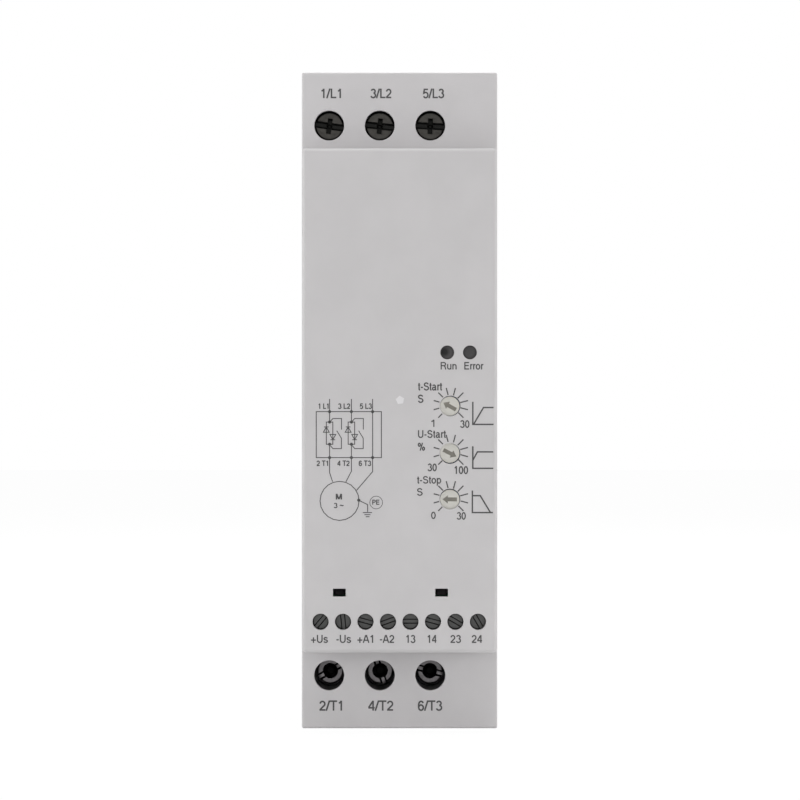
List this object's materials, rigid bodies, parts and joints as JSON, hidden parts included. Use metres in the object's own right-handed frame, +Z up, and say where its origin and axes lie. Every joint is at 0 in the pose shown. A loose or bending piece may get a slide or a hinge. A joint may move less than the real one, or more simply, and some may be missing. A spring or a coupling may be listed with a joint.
{
  "type": "soft starter",
  "caption": "Slim rail-mounted soft starter for a three-phase motor, with rising-cage screw terminals, setting dials, a sprung rail latch and a finned heat sink inside.",
  "frame": {"origin": "middle of the face that rests on the mounting rail, half way up the housing", "axes": "+Y out of the rear face towards the rail, -Y to the front with the dials, +Z up to the line terminals, +X to the right seen from the front"},
  "size_m": [0.045, 0.118, 0.151],
  "materials": {
    "housing": "fine-textured pale grey moulding",
    "carrier": "black moulding",
    "latch": "dark grey moulding",
    "spring_steel": "drawn wire",
    "heat_sink": "extruded, plain",
    "bar": "tinned copper",
    "cage": "zinc plated",
    "screw": "dark zinc plated",
    "control_screw": "dark zinc plated",
    "control_block": "dark moulding",
    "dial": "cream-grey moulding",
    "dial_body": "blue moulding",
    "light_guide": "smoked clear plastic",
    "board": "green solder mask",
    "module": "epoxy",
    "relay": "black moulding",
    "transformer": "varnished laminations",
    "capacitor": "dark sleeve"
  },
  "bodies": {
    "housing": {"front_housing": "housing", "front_cover": "housing", "rear_housing": "housing", "line_terminal_carrier": "carrier", "load_terminal_carrier": "carrier", "latch_spring": "spring_steel", "heat_sink": "heat_sink", "line_bar_1": "bar", "line_bar_2": "bar", "load_bar_1": "bar", "load_bar_2": "bar", "through_bar": "bar", "control_terminal_block": "control_block", "run_up_time_dial_body": "dial_body", "start_voltage_dial_body": "dial_body", "run_down_time_dial_body": "dial_body", "run_light_guide": "light_guide", "error_light_guide": "light_guide", "control_board": "board", "power_board": "board", "thyristor_module_1": "module", "thyristor_module_2": "module", "bypass_relay_1": "relay", "bypass_relay_2": "relay", "supply_transformer": "transformer", "buffer_capacitor": "capacitor", "board_connector": "relay"},
    "latch": {"rail_latch": "latch"},
    "line_screw_1": {"line_screw_1": "screw"},
    "line_cage_1": {"line_cage_1": "cage"},
    "line_screw_2": {"line_screw_2": "screw"},
    "line_cage_2": {"line_cage_2": "cage"},
    "line_screw_3": {"line_screw_3": "screw"},
    "line_cage_3": {"line_cage_3": "cage"},
    "load_screw_1": {"load_screw_1": "screw"},
    "load_cage_1": {"load_cage_1": "cage"},
    "load_screw_2": {"load_screw_2": "screw"},
    "load_cage_2": {"load_cage_2": "cage"},
    "load_screw_3": {"load_screw_3": "screw"},
    "load_cage_3": {"load_cage_3": "cage"},
    "control_screw_1": {"control_screw_1": "control_screw"},
    "control_cage_1": {"control_cage_1": "cage"},
    "control_screw_2": {"control_screw_2": "control_screw"},
    "control_cage_2": {"control_cage_2": "cage"},
    "control_screw_3": {"control_screw_3": "control_screw"},
    "control_cage_3": {"control_cage_3": "cage"},
    "control_screw_4": {"control_screw_4": "control_screw"},
    "control_cage_4": {"control_cage_4": "cage"},
    "control_screw_5": {"control_screw_5": "control_screw"},
    "control_cage_5": {"control_cage_5": "cage"},
    "control_screw_6": {"control_screw_6": "control_screw"},
    "control_cage_6": {"control_cage_6": "cage"},
    "control_screw_7": {"control_screw_7": "control_screw"},
    "control_cage_7": {"control_cage_7": "cage"},
    "control_screw_8": {"control_screw_8": "control_screw"},
    "control_cage_8": {"control_cage_8": "cage"},
    "run_up_time_dial": {"run_up_time_dial": "dial"},
    "start_voltage_dial": {"start_voltage_dial": "dial"},
    "run_down_time_dial": {"run_down_time_dial": "dial"}
  },
  "joints": [
    {"name": "latch_slide", "type": "slide", "parent": "housing", "child": "latch", "axis": [0, 0, -1], "range_m": [0, 0.004], "stiffness_N_per_m": 800, "springref_m": -0.004, "deforming": ["latch_spring"]},
    {"name": "line_screw_1_turn", "type": "hinge", "parent": "housing", "child": "line_screw_1", "pos_m": [-0.0162, -0.0901, 0.0633], "axis": [0, 1, 0], "range_deg": [0, 2829.07]},
    {"name": "line_cage_1_rise", "type": "slide", "parent": "housing", "child": "line_cage_1", "axis": [0, -1, 0], "range_m": [0, 0.0055]},
    {"name": "line_screw_2_turn", "type": "hinge", "parent": "housing", "child": "line_screw_2", "pos_m": [-0.00456, -0.0901, 0.0633], "axis": [0, 1, 0], "range_deg": [0, 2829.07]},
    {"name": "line_cage_2_rise", "type": "slide", "parent": "housing", "child": "line_cage_2", "axis": [0, -1, 0], "range_m": [0, 0.0055]},
    {"name": "line_screw_3_turn", "type": "hinge", "parent": "housing", "child": "line_screw_3", "pos_m": [0.00708, -0.0901, 0.0633], "axis": [0, 1, 0], "range_deg": [0, 2829.07]},
    {"name": "line_cage_3_rise", "type": "slide", "parent": "housing", "child": "line_cage_3", "axis": [0, -1, 0], "range_m": [0, 0.0055]},
    {"name": "load_screw_1_turn", "type": "hinge", "parent": "housing", "child": "load_screw_1", "pos_m": [-0.0162, -0.0777, -0.0633], "axis": [0, 1, 0], "range_deg": [0, 2829.07]},
    {"name": "load_cage_1_rise", "type": "slide", "parent": "housing", "child": "load_cage_1", "axis": [0, -1, 0], "range_m": [0, 0.0055]},
    {"name": "load_screw_2_turn", "type": "hinge", "parent": "housing", "child": "load_screw_2", "pos_m": [-0.00456, -0.0777, -0.0633], "axis": [0, 1, 0], "range_deg": [0, 2829.07]},
    {"name": "load_cage_2_rise", "type": "slide", "parent": "housing", "child": "load_cage_2", "axis": [0, -1, 0], "range_m": [0, 0.0055]},
    {"name": "load_screw_3_turn", "type": "hinge", "parent": "housing", "child": "load_screw_3", "pos_m": [0.00708, -0.0777, -0.0633], "axis": [0, 1, 0], "range_deg": [0, 2829.07]},
    {"name": "load_cage_3_rise", "type": "slide", "parent": "housing", "child": "load_cage_3", "axis": [0, -1, 0], "range_m": [0, 0.0055]},
    {"name": "control_screw_1_turn", "type": "hinge", "parent": "housing", "child": "control_screw_1", "pos_m": [-0.01785, -0.1078, -0.05], "axis": [0, 1, 0], "range_deg": [0, 2160.5]},
    {"name": "control_cage_1_rise", "type": "slide", "parent": "housing", "child": "control_cage_1", "axis": [0, -1, 0], "range_m": [0, 0.0027]},
    {"name": "control_screw_2_turn", "type": "hinge", "parent": "housing", "child": "control_screw_2", "pos_m": [-0.01277, -0.1078, -0.05], "axis": [0, 1, 0], "range_deg": [0, 2160.5]},
    {"name": "control_cage_2_rise", "type": "slide", "parent": "housing", "child": "control_cage_2", "axis": [0, -1, 0], "range_m": [0, 0.0027]},
    {"name": "control_screw_3_turn", "type": "hinge", "parent": "housing", "child": "control_screw_3", "pos_m": [-0.00769, -0.1078, -0.05], "axis": [0, 1, 0], "range_deg": [0, 2160.5]},
    {"name": "control_cage_3_rise", "type": "slide", "parent": "housing", "child": "control_cage_3", "axis": [0, -1, 0], "range_m": [0, 0.0027]},
    {"name": "control_screw_4_turn", "type": "hinge", "parent": "housing", "child": "control_screw_4", "pos_m": [-0.00261, -0.1078, -0.05], "axis": [0, 1, 0], "range_deg": [0, 2160.5]},
    {"name": "control_cage_4_rise", "type": "slide", "parent": "housing", "child": "control_cage_4", "axis": [0, -1, 0], "range_m": [0, 0.0027]},
    {"name": "control_screw_5_turn", "type": "hinge", "parent": "housing", "child": "control_screw_5", "pos_m": [0.00247, -0.1078, -0.05], "axis": [0, 1, 0], "range_deg": [0, 2160.5]},
    {"name": "control_cage_5_rise", "type": "slide", "parent": "housing", "child": "control_cage_5", "axis": [0, -1, 0], "range_m": [0, 0.0027]},
    {"name": "control_screw_6_turn", "type": "hinge", "parent": "housing", "child": "control_screw_6", "pos_m": [0.00755, -0.1078, -0.05], "axis": [0, 1, 0], "range_deg": [0, 2160.5]},
    {"name": "control_cage_6_rise", "type": "slide", "parent": "housing", "child": "control_cage_6", "axis": [0, -1, 0], "range_m": [0, 0.0027]},
    {"name": "control_screw_7_turn", "type": "hinge", "parent": "housing", "child": "control_screw_7", "pos_m": [0.01263, -0.1078, -0.05], "axis": [0, 1, 0], "range_deg": [0, 2160.5]},
    {"name": "control_cage_7_rise", "type": "slide", "parent": "housing", "child": "control_cage_7", "axis": [0, -1, 0], "range_m": [0, 0.0027]},
    {"name": "control_screw_8_turn", "type": "hinge", "parent": "housing", "child": "control_screw_8", "pos_m": [0.01771, -0.1078, -0.05], "axis": [0, 1, 0], "range_deg": [0, 2160.5]},
    {"name": "control_cage_8_rise", "type": "slide", "parent": "housing", "child": "control_cage_8", "axis": [0, -1, 0], "range_m": [0, 0.0027]},
    {"name": "run_up_time_turn", "type": "hinge", "parent": "housing", "child": "run_up_time_dial", "pos_m": [0.01135, -0.1109, -0.0013], "axis": [0, 1, 0], "range_deg": [-71.6, 198.4]},
    {"name": "start_voltage_turn", "type": "hinge", "parent": "housing", "child": "start_voltage_dial", "pos_m": [0.01135, -0.1109, -0.0119], "axis": [0, 1, 0], "range_deg": [-254, 16]},
    {"name": "run_down_time_turn", "type": "hinge", "parent": "housing", "child": "run_down_time_dial", "pos_m": [0.01135, -0.1109, -0.02235], "axis": [0, 1, 0], "range_deg": [-45, 225]}
  ],
  "couplings": [
    {"joint": "line_screw_1_turn", "follows": "line_cage_1_rise", "rad_per_m": 8976},
    {"joint": "line_screw_2_turn", "follows": "line_cage_2_rise", "rad_per_m": 8976},
    {"joint": "line_screw_3_turn", "follows": "line_cage_3_rise", "rad_per_m": 8976},
    {"joint": "load_screw_1_turn", "follows": "load_cage_1_rise", "rad_per_m": 8976},
    {"joint": "load_screw_2_turn", "follows": "load_cage_2_rise", "rad_per_m": 8976},
    {"joint": "load_screw_3_turn", "follows": "load_cage_3_rise", "rad_per_m": 8976},
    {"joint": "control_screw_1_turn", "follows": "control_cage_1_rise", "rad_per_m": 13963},
    {"joint": "control_screw_2_turn", "follows": "control_cage_2_rise", "rad_per_m": 13963},
    {"joint": "control_screw_3_turn", "follows": "control_cage_3_rise", "rad_per_m": 13963},
    {"joint": "control_screw_4_turn", "follows": "control_cage_4_rise", "rad_per_m": 13963},
    {"joint": "control_screw_5_turn", "follows": "control_cage_5_rise", "rad_per_m": 13963},
    {"joint": "control_screw_6_turn", "follows": "control_cage_6_rise", "rad_per_m": 13963},
    {"joint": "control_screw_7_turn", "follows": "control_cage_7_rise", "rad_per_m": 13963},
    {"joint": "control_screw_8_turn", "follows": "control_cage_8_rise", "rad_per_m": 13963}
  ]
}
